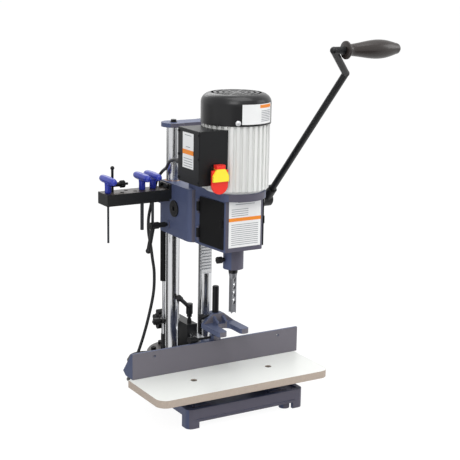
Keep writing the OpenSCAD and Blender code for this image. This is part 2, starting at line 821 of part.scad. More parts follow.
module stator() {
    z0 = bell_top + 28;
    z1 = motor_top - 34;
    color("dimgray") difference() {
        rod_z(z0, z1, stator_r, 0, chisel_y);
        rod_z(z0 - 1, z1 + 1, 40, 0, chisel_y);
        for (i = [0:11]) translate([0, chisel_y, z0 - 1]) rotate(i * 30)
            translate([39, -3, 0]) cube([15, 6, z1 - z0 + 2]);
    }
    color("peru") for (z = [z0 - 14, z1]) translate([0, chisel_y, z]) difference() {
        cylinder(r = 58, h = 14);
        translate([0, 0, -1]) cylinder(r = 43, h = 16);
    }
}

module rotor() {
    color(steel) {
        rod_z(bell_top + 30, motor_top - 36, 39.4, 0, chisel_y);
        rod_z(472, motor_top + 44, 8, 0, chisel_y);
        rod_z(flange_top + 18, flange_top + 22, 11, 0, chisel_y);
    }
}

module motor_bearings() {
    color(steel) for (z = [flange_top + 4, motor_top - 16]) translate([0, chisel_y, z]) difference() {
        cylinder(r = 17.5, h = 11);
        translate([0, 0, -1]) cylinder(r = 8 + run, h = 13);
    }
}

module cooling_fan() {
    z = motor_top + 14;
    color("dimgray") difference() {
        union() {
            rod_z(z, z + 22, 14, 0, chisel_y);
            rod_z(z, z + 2.5, 60, 0, chisel_y);
            translate([0, chisel_y, z]) for (i = [0:8]) rotate(i * 40)
                translate([12, -1, 0]) cube([48, 2, 24]);
        }
        rod_z(z - 1, z + 25, 8 + seat, 0, chisel_y);
    }
}

module fan_cover() {
    straight = 46;
    dome_r = 24.5;
    dome_h = 22;
    wall = 2;
    function shell(o) = [for (a = [0:10:90])
        [cover_r - dome_r - o + dome_r * cos(a), straight + (dome_h - o) * sin(a)]];
    color(black) translate([0, chisel_y, motor_top]) difference() {
        rotate_extrude() polygon(concat([[cover_r, 0]], shell(0), [[0, straight + dome_h]],
            [[0, straight + dome_h - wall]],
            [for (i = [9:-1:0]) shell(wall)[i]], [[cover_r - wall, 0]]));
        for (r = [14, 27, 40, 52]) translate([0, 0, straight + dome_h - 4]) difference() {
            cylinder(r = r + 6, h = 6);
            translate([0, 0, -1]) cylinder(r = r, h = 8);
            for (a = [0:45:135]) rotate(a) cube([200, 5, 30], center = true);
        }
    }
}

// ---- switch box ----
module box_outline(o) {
    difference() {
        translate([box_x0 + o, box_y0 + o]) square([box_x1 - box_x0 - 2 * o, box_y1 - box_y0 - 2 * o]);
        translate([0, chisel_y]) circle(r = motor_r + 0.3 + o);
    }
}

module junction_box() {
    color(black) difference() {
        translate([0, 0, box_z0]) linear_extrude(box_z1 - box_z0) box_outline(0);
        translate([0, 0, box_z0 + sheet]) linear_extrude(box_z1 - box_z0 - 2 * sheet) box_outline(sheet);
        // open left side with a lip for the cover
        block([box_x0 - 1, box_y0 + 7, box_z0 + 7], [box_x0 + sheet + 1, box_y1 - 7, box_z1 - 7]);
        block([switch_x - 15, box_y0 - 1, 574], [switch_x + 15, box_y0 + sheet + 1, 606]);
        rod_y(box_y1 - sheet - 1, box_y1 + 1, 7 + seat, gland_x, gland_z);
        for (y = [box_y0 + 4, box_y1 - 4], z = [box_z0 + 8, (box_z0 + box_z1) / 2, box_z1 - 8])
            rod_x(box_x0 - 1, box_x0 + sheet + 1, 1.5 + seat, y, z);
    }
}

module side_panel() {
    color(black) difference() {
        block([box_x0 - 1.2, box_y0 + 0.5, box_z0 + 0.5], [box_x0, box_y1 - 0.5, box_z1 - 0.5]);
        for (y = [box_y0 + 4, box_y1 - 4], z = [box_z0 + 8, (box_z0 + box_z1) / 2, box_z1 - 8])
            rod_x(box_x0 - 3, box_x0 + 1, 1.5 + seat, y, z);
    }
}

module panel_screws() {
    color(steel) for (y = [box_y0 + 4, box_y1 - 4], z = [box_z0 + 8, (box_z0 + box_z1) / 2, box_z1 - 8]) {
        rod_x(box_x0 - 1.3, box_x0 + 5, 1.5, y, z);
        rod_x(box_x0 - 2.8, box_x0 - 1.2, 3, y, z);
    }
}

module switch_body() {
    color(black) difference() {
        union() {
            block([switch_x - 14.9, box_y0 - 2, 574.1], [switch_x + 14.9, box_y0 + 10, 605.9]);
            block([switch_x - 18, box_y0 - 4, 571], [switch_x + 18, box_y0, 609]);
        }
        block([switch_x - 9, box_y0 - 5, 580], [switch_x + 9, box_y0 + 7.5, 597]);
    }
}

module switch_paddle() {
    w = 20.5;
    y = box_y0 - 9.5;
    color("red") {
        translate([switch_x, y, 0]) rotate([90, 0, 0]) linear_extrude(5) {
            translate([0, 548 + w]) circle(r = w);
            translate([-w, 548 + w]) square([2 * w, 602 - 548 - w]);
        }
        rod_x(switch_x - 12, switch_x + 12, 3, box_y0 - 7.2, 600);
        block([switch_x - 8, box_y0 - 10, 584], [switch_x + 8, box_y0 + 6, 594]);
    }
}

module switch_key() {
    y = box_y0 - 14.8;
    color("yellow") translate([switch_x, y, 0]) rotate([90, 0, 0]) linear_extrude(5)
        polygon([[-20, 577], [20, 577], [20, 590], [11, 604], [-11, 604], [-20, 590]]);
    color("red") block([switch_x - 11, y - 4, 604.2], [switch_x + 11, box_y0 - 4.4, 614]);
    color("yellow") block([switch_x - 9, y - 5, 598], [switch_x + 9, y, 605]);
}

module capacitor() {
    color("dimgray") rod_y(box_y0 + 30, box_y1 - 12, 15, box_x0 + 22, box_z0 + sheet + 15 + air);
}

module cord_gland() {
    color(black) translate([gland_x, 0, gland_z]) rotate([-90, 0, 0]) translate([0, 0, box_y1])
        rotate_extrude() polygon([[cord_r + seat, -5], [7, -5], [7, 0], [9, 0], [9, 4], [7.5, 6],
            [cord_r + 1.6, 26], [cord_r + seat, 26]]);
}

// ---- tool rack on the head ----
hex_keys = [[-230, 122, 2.6, 396], [-139, 126, 4.2, 418], [-108, 131, 3.4, 414]];
spare_holes = [[-196, 118, 5], [-177, 136, 5], [-161, 119, 5]];
chuck_key_at = [-214, 132];

module tool_rack() {
    x0 = holder_x1 + 6 - rack_l - 6;
    color(black) difference() {
        union() {
            block([x0, holder_y - rack_d / 2, holder_z], [holder_x1 + 1, holder_y + rack_d / 2, holder_top]);
            block([holder_x1, holder_y - 26, 492.5], [-car_w / 2, holder_y + 31, 528]);
        }
        for (k = hex_keys) rod_z(holder_z - 1, holder_top + 1, k[2] + 0.4, k.x, k.y);
        for (h = spare_holes) rod_z(holder_z - 1, holder_top + 1, h[2], h.x, h.y);
        rod_z(holder_z + 6, holder_top + 1, 3.5, chuck_key_at.x, chuck_key_at.y);
        for (y = holder_bolt_y) rod_x(holder_x1 - 1, -car_w / 2 + 1, 3 + seat, y, holder_bolt_z);
    }
}

module rack_bolts() {
    color(black) for (y = holder_bolt_y) {
        rod_x(holder_x1, -car_w / 2 + 4, 3, y, holder_bolt_z);
        rod_x(holder_x1 - 5, holder_x1, 5, y, holder_bolt_z);
    }
}

module hex_key(k) {
    handle_z = 547;
    half = 40;
    color(steel) translate([k.x, k.y, k[3]]) cylinder(r = k[2], h = holder_top + 6 - k[3], $fn = 6);
    color(blue) {
        rod_z(holder_top + air, handle_z, 8, k.x, k.y);
        rod_y(k.y - half + 4, k.y + half - 4, 10, k.x, handle_z);
        rod_y(k.y - half, k.y - half + 4.1, 8.6, k.x, handle_z);
        rod_y(k.y + half - 4.1, k.y + half, 8.6, k.x, handle_z);
    }
}

module hex_key_1() {
    hex_key(hex_keys[0]);
}

module hex_key_2() {
    hex_key(hex_keys[1]);
}

module hex_key_3() {
    hex_key(hex_keys[2]);
}

module chuck_key() {
    x = chuck_key_at.x;
    y = chuck_key_at.y;
    z = 533;
    color(black) {
        rod_z(holder_z + 7, 573, 3.1, x, y);
        translate([x, y, 573]) sphere(r = 5);
        rod_x(x - 6, x + 20, 5.5, y, z);
        translate([x + 20, y, z]) rotate([0, 90, 0]) linear_extrude(11)
            polygon([for (i = [0:19]) (i % 2 == 0 ? 9 : 7) * [cos(i * 18), sin(i * 18)]]);
        rod_x(x + 30, x + 40, 3, y, z);
    }
}

// ---- doors of the front housing ----
module door(s) {
    slope = atan2(house_w / 2 - house_front_w / 2 - 3, door_y1 - (house_y + 9));
    l = (door_y1 - door_y0) / cos(slope);
    color(black) translate([s * (house_w / 2 + air), door_y1, 0]) rotate(-s * slope)
        mirror([s > 0 ? 0 : 1, 0, 0]) {
            block([0, -l, door_z0], [door_t, 0, door_z1]);
            block([door_t - tiny, -l + 2, 462], [door_t + 3, -l + 8, 480]);
            translate([door_t + 1.5, 4, 0]) for (z = knuckle_z) difference() {
                union() {
                    rod_z(z, z + knuckle_h, 4, 0, 0);
                    block([-door_t - 1.5, -5, z], [0.9, 0, z + knuckle_h]);
                }
                rod_z(z - 1, z + knuckle_h + 1, hinge_r + run, 0, 0);
            }
        }
}

module left_door() {
    door(-1);
}

module right_door() {
    door(1);
}

// ---- chisel, auger and chuck ----
module chisel() {
    window_z0 = 262;
    window_z1 = 332;
    color(steel) difference() {
        union() {
            rod_z(nose_z, nose_z + 30, 9.5, 0, chisel_y);
            rod_z(nose_z - 8, nose_z, 11, 0, chisel_y);
            translate([0, chisel_y, nose_z - 26]) cylinder(r1 = chisel_w * 0.62, r2 = 11, h = 18);
            translate([-chisel_w / 2, chisel_y - chisel_w / 2, chisel_tip])
                cube([chisel_w, chisel_w, nose_z - 20 - chisel_tip]);
        }
        rod_z(chisel_tip - 1, nose_z + 31, chisel_w / 2 - 1.05, 0, chisel_y);
        // hollow-ground points
        translate([0, chisel_y, chisel_tip - tiny])
            cylinder(r1 = chisel_w * 0.69, r2 = 0.5, h = chisel_w * 0.8);
        block([-chisel_w / 2 + 2.8, chisel_y - chisel_w, window_z0],
            [chisel_w / 2 - 2.8, chisel_y - 2, window_z1]);
    }
}

module auger_bit() {
    r = chisel_w / 2 - 1.05 - 0.5;
    web = r * 0.34;
    color(steel) translate([0, chisel_y, 0]) {
        translate([0, 0, chisel_tip + 1]) linear_extrude(92, twist = -900, slices = 40, $fn = 6)
            polygon([[r, -web], [r, web], [0, r * 0.5], [-r, web], [-r, -web], [0, -r * 0.5]]);
        translate([0, 0, chisel_tip + 92.9]) cylinder(r = r * 0.8, h = 440 - chisel_tip - 92.9);
    }
}

module chuck() {
    color("dimgray") difference() {
        union() {
            translate([0, chisel_y, 424]) cylinder(r1 = 12, r2 = 19, h = 12);
            rod_z(436, 462, 19, 0, chisel_y);
            rod_z(462, 486, 16, 0, chisel_y);
        }
        rod_z(470, 487, 8 + seat, 0, chisel_y);
        rod_z(423, 442, 4.2, 0, chisel_y);
        for (a = [0:120:240]) translate([0, chisel_y, 470]) rotate([90, 0, a])
            translate([0, 0, 10]) cylinder(r = 3, h = 20);
    }
}

module chisel_knob() {
    color(black) {
        rod_x(-34, -9.8, 3, chisel_y, 376);
        clamp_knob(8, 12, chisel_y, 376, -44);
        rod_x(-33, -26, 5, chisel_y, 376);
    }
}

// ---- mains cord ----
cord_low = cord_r * cos(22.5) + tiny;    // height of the axis where the cord lies on the bench

// Route of the free stretch, from the gland down behind the columns to the bench
cord_route = [[-116, -4, 606], [-116, 8, 605], [-112, 30, 600], [-104, 58, 589], [-90, 95, 571],
    [-84, 130, 554], [-84, 154, 532], [-86, 167, 500], [-92, 170, 468], [-99, 170, 434],
    [-99, 170, 399], [-93, 170, 365], [-88, 170, 330], [-83, 170, 293], [-85, 170, 242],
    [-98, 171, 181], [-112, 173, 130], [-126, 177, 85], [-135, 184, 48], [-138, 196, 20],
    [-133, 216, 8], [-118, 240, cord_low], [-91, 253.4, cord_low],
    [-28.4, 284.5, cord_low]];

coil_r = 42;
coil_c = [-20, 340];
plug_x = coil_c.x + coil_r + 24;

function unit(v) = v / norm(v);
function route_tangent(p, i) = unit(p[min(i + 1, len(p) - 1)] - p[max(i - 1, 0)]);

// Tube of n sides swept along points, its lowest side flat
module tube(p, r, n) {
    up = [0, 0, 1];
    rings = [for (i = [0:len(p) - 1])
        let (t = route_tangent(p, i),
            flat = norm(cross(t, up)) > 0.35,
            side = unit(cross(t, flat ? up : [1, 0, 0])),
            lift = cross(side, t))
            for (k = [0:n - 1])
                let (a = 360 * k / n + 180 / n)
                    p[i] + r * cos(a) * side + r * sin(a) * lift];
    last = len(p) - 1;
    polyhedron(rings, concat(
        [for (i = [0:last - 1], k = [0:n - 1]) let (a = i * n + k, b = i * n + (k + 1) % n)
            [a, a + n, b]],
        [for (i = [0:last - 1], k = [0:n - 1]) let (b = i * n + (k + 1) % n)
            [b, i * n + k + n, b + n]],
        [for (k = [1:n - 2]) [0, k, k + 1]],
        [for (k = [1:n - 2]) [last * n, last * n + k + 1, last * n + k]]));
}

module cord_free() {
    color(black) tube(cord_route, cord_r, 8);
}

module cord_coil() {
    end = cord_route[len(cord_route) - 1];
    lead = unit(end - cord_route[len(cord_route) - 2]);
    color(black) {
        translate([coil_c.x, coil_c.y, 0]) rotate_extrude()
            translate([coil_r - 10, tiny]) square([20, 2 * cord_d]);
        strut(end, end + 24 * lead, cord_low - tiny);
        rod_x(coil_c.x + coil_r + 5, plug_x, cord_r, coil_c.y, cord_d);
    }
}

module cord_plug() {
    color(black) {
        block([plug_x, coil_c.y - 14, tiny], [plug_x + 34, coil_c.y + 14, 20]);
        for (y = [-6, 6])
            block([plug_x + 33, coil_c.y + y - 0.8, 7], [plug_x + 50, coil_c.y + y + 0.8, 13]);
    }
}

base_casting();
column_foot();
foot_bolts();
table_spacers();
table_board();
table_bolts();
fence_block();
column_left();
column_rack();
top_plate();
top_bolts();
spring_rod();
cord_free();
cord_coil();
cord_plug();
block_lever();
fence();
fence_bar();
feed_knob();
hold_down_post();
post_knob();
fork();
fork_knob();
stop_collar();
head_casting();
column_bushes();
feed_pinion();
pinion_cap();
lever_boss();
lever_rod();
lever_grip();
head_lock();
spring_body();
end_bell();
motor_body();
stator();
rotor();
motor_bearings();
cooling_fan();
fan_cover();
junction_box();
side_panel();
panel_screws();
switch_body();
switch_paddle();
switch_key();
capacitor();
cord_gland();
tool_rack();
rack_bolts();
hex_key_1();
hex_key_2();
hex_key_3();
chuck_key();
left_door();
right_door();
chisel();
auger_bit();
chuck();
chisel_knob();
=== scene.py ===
"""Looks of a benchtop mortiser: finishes, mains cord, plates, small fasteners, light and camera.

Lengths are in metres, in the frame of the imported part: X to the operator's right, -Y towards the
operator, Z up from the bench.
"""

import functools
import logging
import math
from dataclasses import dataclass
from enum import Enum
from typing import Any, Callable, Optional, Sequence, Union

import bmesh
import bpy
from mathutils import Matrix, Vector


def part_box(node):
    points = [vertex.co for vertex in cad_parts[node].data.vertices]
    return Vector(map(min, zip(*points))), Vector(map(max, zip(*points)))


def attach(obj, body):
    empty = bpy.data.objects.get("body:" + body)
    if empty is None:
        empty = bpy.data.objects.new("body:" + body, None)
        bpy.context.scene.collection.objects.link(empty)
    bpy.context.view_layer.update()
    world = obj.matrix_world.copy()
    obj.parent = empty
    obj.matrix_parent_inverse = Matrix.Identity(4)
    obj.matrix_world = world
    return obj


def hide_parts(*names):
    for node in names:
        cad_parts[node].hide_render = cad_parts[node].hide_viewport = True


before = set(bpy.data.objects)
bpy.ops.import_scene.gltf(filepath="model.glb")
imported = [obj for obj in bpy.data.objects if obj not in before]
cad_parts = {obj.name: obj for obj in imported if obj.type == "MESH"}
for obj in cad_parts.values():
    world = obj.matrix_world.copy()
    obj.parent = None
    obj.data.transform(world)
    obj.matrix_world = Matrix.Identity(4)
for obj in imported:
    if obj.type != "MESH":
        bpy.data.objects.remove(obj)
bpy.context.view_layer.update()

log = logging.getLogger("mortiser")

Color = tuple[float, float, float]
Point = tuple[float, float, float]
Placing = Callable[[float, float, float], Point]
MM = 0.001


class Axis(Enum):
    """What a two-tone finish changes with."""

    X = 0
    Y = 1
    Z = 2
    UPWARD = 3
    # FRONT picks faces that look to the front and serves only painted front light; UPWARD picks
    # faces that look up and serves the board's laminate top and painted top light on black parts.
    FRONT = 4


def rgb(code: str) -> Color:
    """Turns a screen colour into the linear colour that a shader takes.

    Args:
        code: six hexadecimal digits.

    Returns:
        The linear red, green and blue.
    """
    values = [int(code[i : i + 2], 16) / 255 for i in (0, 2, 4)]
    return tuple(v / 12.92 if v <= 0.04045 else ((v + 0.055) / 1.055) ** 2.4 for v in values)


# ---- shader graph ----


class Wire:
    """The output of a shader node, which adds, multiplies and compares like a number."""

    def __init__(self, graph: "Graph", socket: bpy.types.NodeSocket) -> None:
        """Keeps the graph and the socket.

        Args:
            graph: the graph that the socket is in.
            socket: an output socket.
        """
        self.graph = graph
        self.socket = socket

    def _with(self, operation: str, first: Any, second: Any) -> "Wire":
        """Runs one maths operation.

        Args:
            operation: the Math node's operation.
            first: its first value.
            second: its second value.

        Returns:
            The result.
        """
        return self.graph.node("ShaderNodeMath", {"operation": operation}, {0: first, 1: second})

    def __add__(self, other: Any) -> "Wire":
        """Adds a number or wire."""
        return self._with("ADD", self, other)

    __radd__ = __add__

    def __mul__(self, other: Any) -> "Wire":
        """Multiplies by a number or wire."""
        return self._with("MULTIPLY", self, other)

    __rmul__ = __mul__

    def __sub__(self, other: Any) -> "Wire":
        """Takes a number or wire away."""
        return self._with("SUBTRACT", self, other)

    def __rsub__(self, other: Any) -> "Wire":
        """Takes this from a number or wire."""
        return self._with("SUBTRACT", other, self)

    def __gt__(self, other: Any) -> "Wire":
        """Gives 1 where this is greater, and 0 elsewhere."""
        return self._with("GREATER_THAN", self, other)


class Graph:
    """The node tree of one material or of the world."""

    def __init__(self, tree: bpy.types.NodeTree) -> None:
        """Empties the tree.

        Args:
            tree: the tree to build in.
        """
        self.tree = tree
        tree.nodes.clear()

    def node(
        self,
        kind: str,
        settings: Optional[dict[str, Any]] = None,
        values: Optional[dict[Union[int, str], Any]] = None,
        output: Union[int, str] = 0,
    ) -> Wire:
        """Adds one node.

        Args:
            kind: the node's type.
            settings: its properties.
            values: its input values or wires, by socket.
            output: the socket to give back.

        Returns:
            The chosen output.
        """
        made = self.tree.nodes.new(kind)
        for name, value in (settings or {}).items():
            setattr(made, name, value)
        for key, value in (values or {}).items():
            if isinstance(value, Wire):
                self.tree.links.new(value.socket, made.inputs[key])
            else:
                made.inputs[key].default_value = value
        return Wire(self, made.outputs[output])

    def mix(self, factor: Any, first: Any, second: Any) -> Wire:
        """Mixes two colours.

        Args:
            factor: 0 gives the first and 1 the second.
            first: a colour or wire.
            second: a colour or wire.

        Returns:
            The mixed colour.
        """
        colors = [(*c, 1.0) if isinstance(c, tuple) else c for c in (first, second)]
        values = {0: factor, 6: colors[0], 7: colors[1]}
        return self.node("ShaderNodeMix", {"data_type": "RGBA"}, values, 2)

    def place(self, output: str = "Object") -> Wire:
        """Gives the point or direction on the piece itself."""
        return self.node("ShaderNodeTexCoord", output=output)

    def part_of(self, vector: Wire, axis: int) -> Wire:
        """Gives one component of a vector."""
        return self.node("ShaderNodeSeparateXYZ", values={0: vector}, output=axis)

    def noise(self, scale: float, detail: float = 3.0, stretch: Point = (1, 1, 1)) -> Wire:
        """Makes a grey noise that is fixed to the piece.

        Args:
            scale: grains per metre.
            detail: octaves.
            stretch: scale along each axis.

        Returns:
            The noise, about 0.5.
        """
        point = self.node("ShaderNodeMapping", values={0: self.place(), 3: stretch})
        values = {"Vector": point, "Scale": scale, "Detail": detail}
        return self.node("ShaderNodeTexNoise", values=values)

    def surface(self, shader: Wire, kind: str = "ShaderNodeOutputMaterial") -> None:
        """Joins a shader to the tree's output.

        Args:
            shader: the shader's wire.
            kind: the output node's type.
        """
        made = self.tree.nodes.new(kind)
        self.tree.links.new(shader.socket, made.inputs["Surface"])


# ---- finishes ----


@dataclass(frozen=True)
class Finish:
    """One surface finish of the machine."""

    name: str
    color: Color
    roughness: float = 0.5
    metallic: float = 0.0
    coat: float = 0.0
    coat_roughness: float = 0.1
    specular: float = 0.5
    mottle: float = 0.0
    mottle_scale: float = 30.0
    smudge: float = 0.0
    grain: float = 0.0
    grain_scale: float = 900.0
    stretch: Point = (1, 1, 1)
    edge: float = 0.0

    def base(self, graph: Graph) -> Any:
        """Gives the base colour.

        Args:
            graph: the material's graph.

        Returns:
            A colour, or a wire where it varies.
        """
        if not self.mottle:
            return self.color
        dark = tuple(c * (1 - self.mottle) for c in self.color)
        light = tuple(min(1.0, c * (1 + self.mottle)) for c in self.color)
        return graph.mix(graph.noise(self.mottle_scale, stretch=self.stretch), dark, light)

    def rough(self, graph: Graph) -> Any:
        """Gives the roughness, as a number or a wire."""
        if not self.smudge:
            return self.roughness
        return (graph.noise(22.0) - 0.5) * self.smudge + self.roughness

    def metal(self, graph: Graph) -> Any:
        """Gives the metallic value, as a number or a wire."""
        return self.metallic

    def normal(self, graph: Graph) -> Optional[Wire]:
        """Gives the bumped and softened normal.

        Args:
            graph: the material's graph.

        Returns:
            A wire, or None for a plain surface.
        """
        soft = None
        if self.edge:
            soft = graph.node("ShaderNodeBevel", {"samples": 4}, {"Radius": self.edge})
        if not self.grain:
            return soft
        values = {"Height": graph.noise(self.grain_scale, 2.0, self.stretch)}
        values |= {"Distance": self.grain, "Strength": 1.0}
        if soft:
            values["Normal"] = soft
        return graph.node("ShaderNodeBump", values=values)

    @functools.cache
    def material(self) -> bpy.types.Material:
        """Builds the material once and keeps it.

        Returns:
            The material.
        """
        made = bpy.data.materials.new(f"look_{self.name}")
        made.use_nodes = True
        graph = Graph(made.node_tree)
        base = self.base(graph)
        values = {
            "Base Color": (*base, 1.0) if isinstance(base, tuple) else base,
            "Roughness": self.rough(graph),
            "Metallic": self.metal(graph),
            "Coat Weight": self.coat,
            "Coat Roughness": self.coat_roughness,
            "Specular IOR Level": self.specular,
        }
        normal = self.normal(graph)
        if normal:
            values["Normal"] = normal
        shader = graph.node("ShaderNodeBsdfPrincipled", values=values)
        graph.surface(shader)
        return made


@dataclass(frozen=True)
class TwoTone(Finish):
    """A finish that changes to another at a line across the piece."""

    other: Optional[Finish] = None
    axis: Axis = Axis.Z
    at: float = 0.0

    def _step(self, graph: Graph) -> Wire:
        """Gives 1 beyond the line and 0 before it."""
        if self.axis is Axis.UPWARD:
            return graph.part_of(graph.place("Normal"), 2) > self.at
        if self.axis is Axis.FRONT:
            return graph.part_of(graph.place("Normal"), 1) * -1 > self.at
        return graph.part_of(graph.place(), self.axis.value) > self.at

    def _blend(self, graph: Graph, first: Any, second: Any) -> Any:
        """Mixes two numbers across the line.

        Args:
            graph: the material's graph.
            first: the number before the line.
            second: the number beyond it.

        Returns:
            A number, or a wire where they differ.
        """
        if not isinstance(first, Wire) and not isinstance(second, Wire) and first == second:
            return first
        step = self._step(graph)
        return step * second + (1 - step) * first

    def base(self, graph: Graph) -> Any:
        """Gives the base colour on both sides of the line."""
        return graph.mix(self._step(graph), super().base(graph), self.other.base(graph))

    def rough(self, graph: Graph) -> Any:
        """Gives the roughness on both sides of the line."""
        return self._blend(graph, self.roughness, self.other.roughness)

    def metal(self, graph: Graph) -> Any:
        """Gives the metallic value on both sides of the line."""
        return self._blend(graph, self.metallic, self.other.metallic)


# Blue-grey paint; faces that look to the front take a warmer grey, which is painted light standing
# in for the warm light from the front.
PAINT_AND_PAINTED_FRONT_LIGHT = TwoTone(
    "blue_grey_paint", rgb("4a5372"), 0.44, specular=0.3, mottle=0.05,
    grain=0.00004, grain_scale=420.0, edge=0.0016,
    other=Finish("painted_front_light", rgb("575563"), 0.44), axis=Axis.FRONT, at=0.75,
)
# Blue-grey fence paint; faces that look to the front take a lighter warm grey, which is painted
# light standing in for the warm light the table throws back onto them.
FENCE_PAINT_AND_PAINTED_FRONT_LIGHT = TwoTone(
    "fence_paint_lit_front", rgb("525a75"), 0.44, specular=0.3, mottle=0.05,
    grain=0.00004, grain_scale=420.0, edge=0.0016,
    other=Finish("fence_painted_front_light", rgb("6d6a72"), 0.44), axis=Axis.FRONT, at=0.75,
)
GLOSS_BLACK = Finish("gloss_black", rgb("0c0c0f"), 0.3, coat=0.06, specular=0.36, edge=0.0016)
SATIN_BLACK = Finish("satin_black", rgb("131416"), 0.42, specular=0.32, smudge=0.1, edge=0.0012)
BLACK_OXIDE = Finish("black_oxide", rgb("18191b"), 0.36, metallic=0.3, specular=0.3, edge=0.0006)
BLACK_PLASTIC = Finish(
    "black_plastic", rgb("141416"), 0.4, specular=0.34, edge=0.0008, grain=0.00001,
)
DOOR_PLASTIC = Finish("door_plastic", rgb("0d0d0f"), 0.36, specular=0.22, smudge=0.08, edge=0.0012)
GRIP_PLASTIC = Finish("grip_plastic", rgb("2c2624"), 0.34, coat=0.12, specular=0.4)
SPRING_BLACK = Finish("spring_black", rgb("070708"), 0.4, specular=0.2, edge=0.0008)
RUBBER = Finish("black_rubber", rgb("1b1c1e"), 0.5, specular=0.4)
STEEL = Finish(
    "ground_steel", rgb("cfd0d2"), 0.2, metallic=1.0, smudge=0.06, mottle=0.03,
    stretch=(1, 1, 0.05), edge=0.0005,
)
CHROME = Finish("chromed_steel", rgb("d5d6d8"), 0.1, metallic=1.0)
TOOL_STEEL = Finish("tool_steel", rgb("6f7074"), 0.3, metallic=1.0, mottle=0.1, edge=0.0004)
DARK_STEEL = Finish("dark_steel", rgb("45474b"), 0.35, metallic=0.9, edge=0.0004)
BRONZE = Finish("bronze", rgb("a97c4c"), 0.45, metallic=1.0)
SILVER = Finish("cast_aluminium", rgb("e6e7e5"), 0.36, metallic=0.2, mottle=0.02, edge=0.001)
RED = Finish("red_plastic", rgb("ee3328"), 0.3, coat=0.2, edge=0.0008)
YELLOW = Finish("yellow_plastic", rgb("ffe93c"), 0.3, coat=0.2, edge=0.0008)
BLUE = Finish("blue_plastic", rgb("2b38a0"), 0.3, coat=0.12, specular=0.4, edge=0.0008)
WHITE_PLATE = Finish("white_plate", rgb("eceded"), 0.35)
ORANGE_PLATE = Finish("orange_plate", rgb("f08a1c"), 0.4)
GREY_PRINT = Finish("grey_print", rgb("8d9096"), 0.5)
SCREW_WHITE = Finish("screw_white", rgb("d9dadc"), 0.35, metallic=0.4, edge=0.0003)
BOARD = TwoTone(
    "white_laminate", rgb("b3a598"), 0.6, mottle=0.12, mottle_scale=260.0, edge=0.001,
    other=Finish("laminate_top", rgb("eceeea"), 0.3), axis=Axis.UPWARD, at=0.6,
)
KEY_PLASTIC = TwoTone(
    "key_plastic", YELLOW.color, 0.3, coat=0.2, edge=0.0008, other=RED, axis=Axis.Z, at=0.6051,
)
CHISEL_STEEL = TwoTone(
    "chisel_steel", rgb("8a8b90"), 0.34, metallic=0.55, mottle=0.08, edge=0.0004,
    other=BLACK_OXIDE, axis=Axis.Z, at=0.341,
)
BRIGHT_BIT = Finish("bright_bit", rgb("e3e4e6"), 0.25, metallic=0.6)
ROD_FITTING = TwoTone(
    "rod_and_fitting", BLACK_OXIDE.color, 0.36, metallic=0.35, other=CHROME, axis=Axis.Z,
    at=0.1292,
)
# Satin black; faces that look up take a brownish grey, which is painted light standing in for light
# falling on the top.
RACK_BLACK_AND_LIT_TOP = TwoTone(
    "rack_black", SATIN_BLACK.color, 0.42, edge=0.0012,
    other=Finish("rack_painted_top_light", rgb("332b26"), 0.4), axis=Axis.UPWARD, at=0.6,
)
# Satin black; faces that look up take a brownish grey, which is painted light standing in for light
# falling on the top of the casting.
FOOT_BLACK_AND_LIT_TOP = TwoTone(
    "foot_black", SATIN_BLACK.color, 0.42, edge=0.0012,
    other=Finish("foot_painted_top_light", rgb("3a3433"), 0.4), axis=Axis.UPWARD, at=0.6,
)

NODE_FINISHES: dict[Finish, str] = {
    PAINT_AND_PAINTED_FRONT_LIGHT: "base_casting top_plate head_casting",
    FENCE_PAINT_AND_PAINTED_FRONT_LIGHT: "fence fork",
    FOOT_BLACK_AND_LIT_TOP: "column_foot",
    BLACK_OXIDE: "foot_bolts table_spacers table_bolts top_bolts hold_down_post rack_bolts "
    "panel_screws stator chuck_key",
    BOARD: "table_board",
    SATIN_BLACK: "fence_block lever_boss lever_rod junction_box side_panel capacitor",
    SPRING_BLACK: "spring_body",
    STEEL: "column_left column_rack fence_bar feed_pinion rotor motor_bearings",
    ROD_FITTING: "spring_rod",
    RUBBER: "cord_free cord_coil cord_gland",
    BLACK_PLASTIC: "cord_plug block_lever feed_knob post_knob fork_knob stop_collar pinion_cap "
    "head_lock cooling_fan switch_body chisel_knob lever_grip",
    BRONZE: "column_bushes",
    SILVER: "end_bell motor_body",
    GLOSS_BLACK: "fan_cover",
    RED: "switch_paddle",
    KEY_PLASTIC: "switch_key",
    RACK_BLACK_AND_LIT_TOP: "tool_rack",
    BLUE: "hex_key_1 hex_key_2 hex_key_3",
    DOOR_PLASTIC: "left_door right_door",
    TOOL_STEEL: "chuck",
    CHISEL_STEEL: "chisel",
    BRIGHT_BIT: "auger_bit",
}


def dress_nodes() -> None:
    """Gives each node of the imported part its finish."""
    for finish, names in NODE_FINISHES.items():
        for name in names.split():
            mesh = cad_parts[name]
            if not mesh.material_slots:
                mesh.data.materials.append(finish.material())
            for one in mesh.material_slots:
                one.material = finish.material()


# ---- meshes ----

ALONG_X = Matrix.Rotation(math.pi / 2, 4, "Y")
ALONG_Y = Matrix.Rotation(-math.pi / 2, 4, "X")


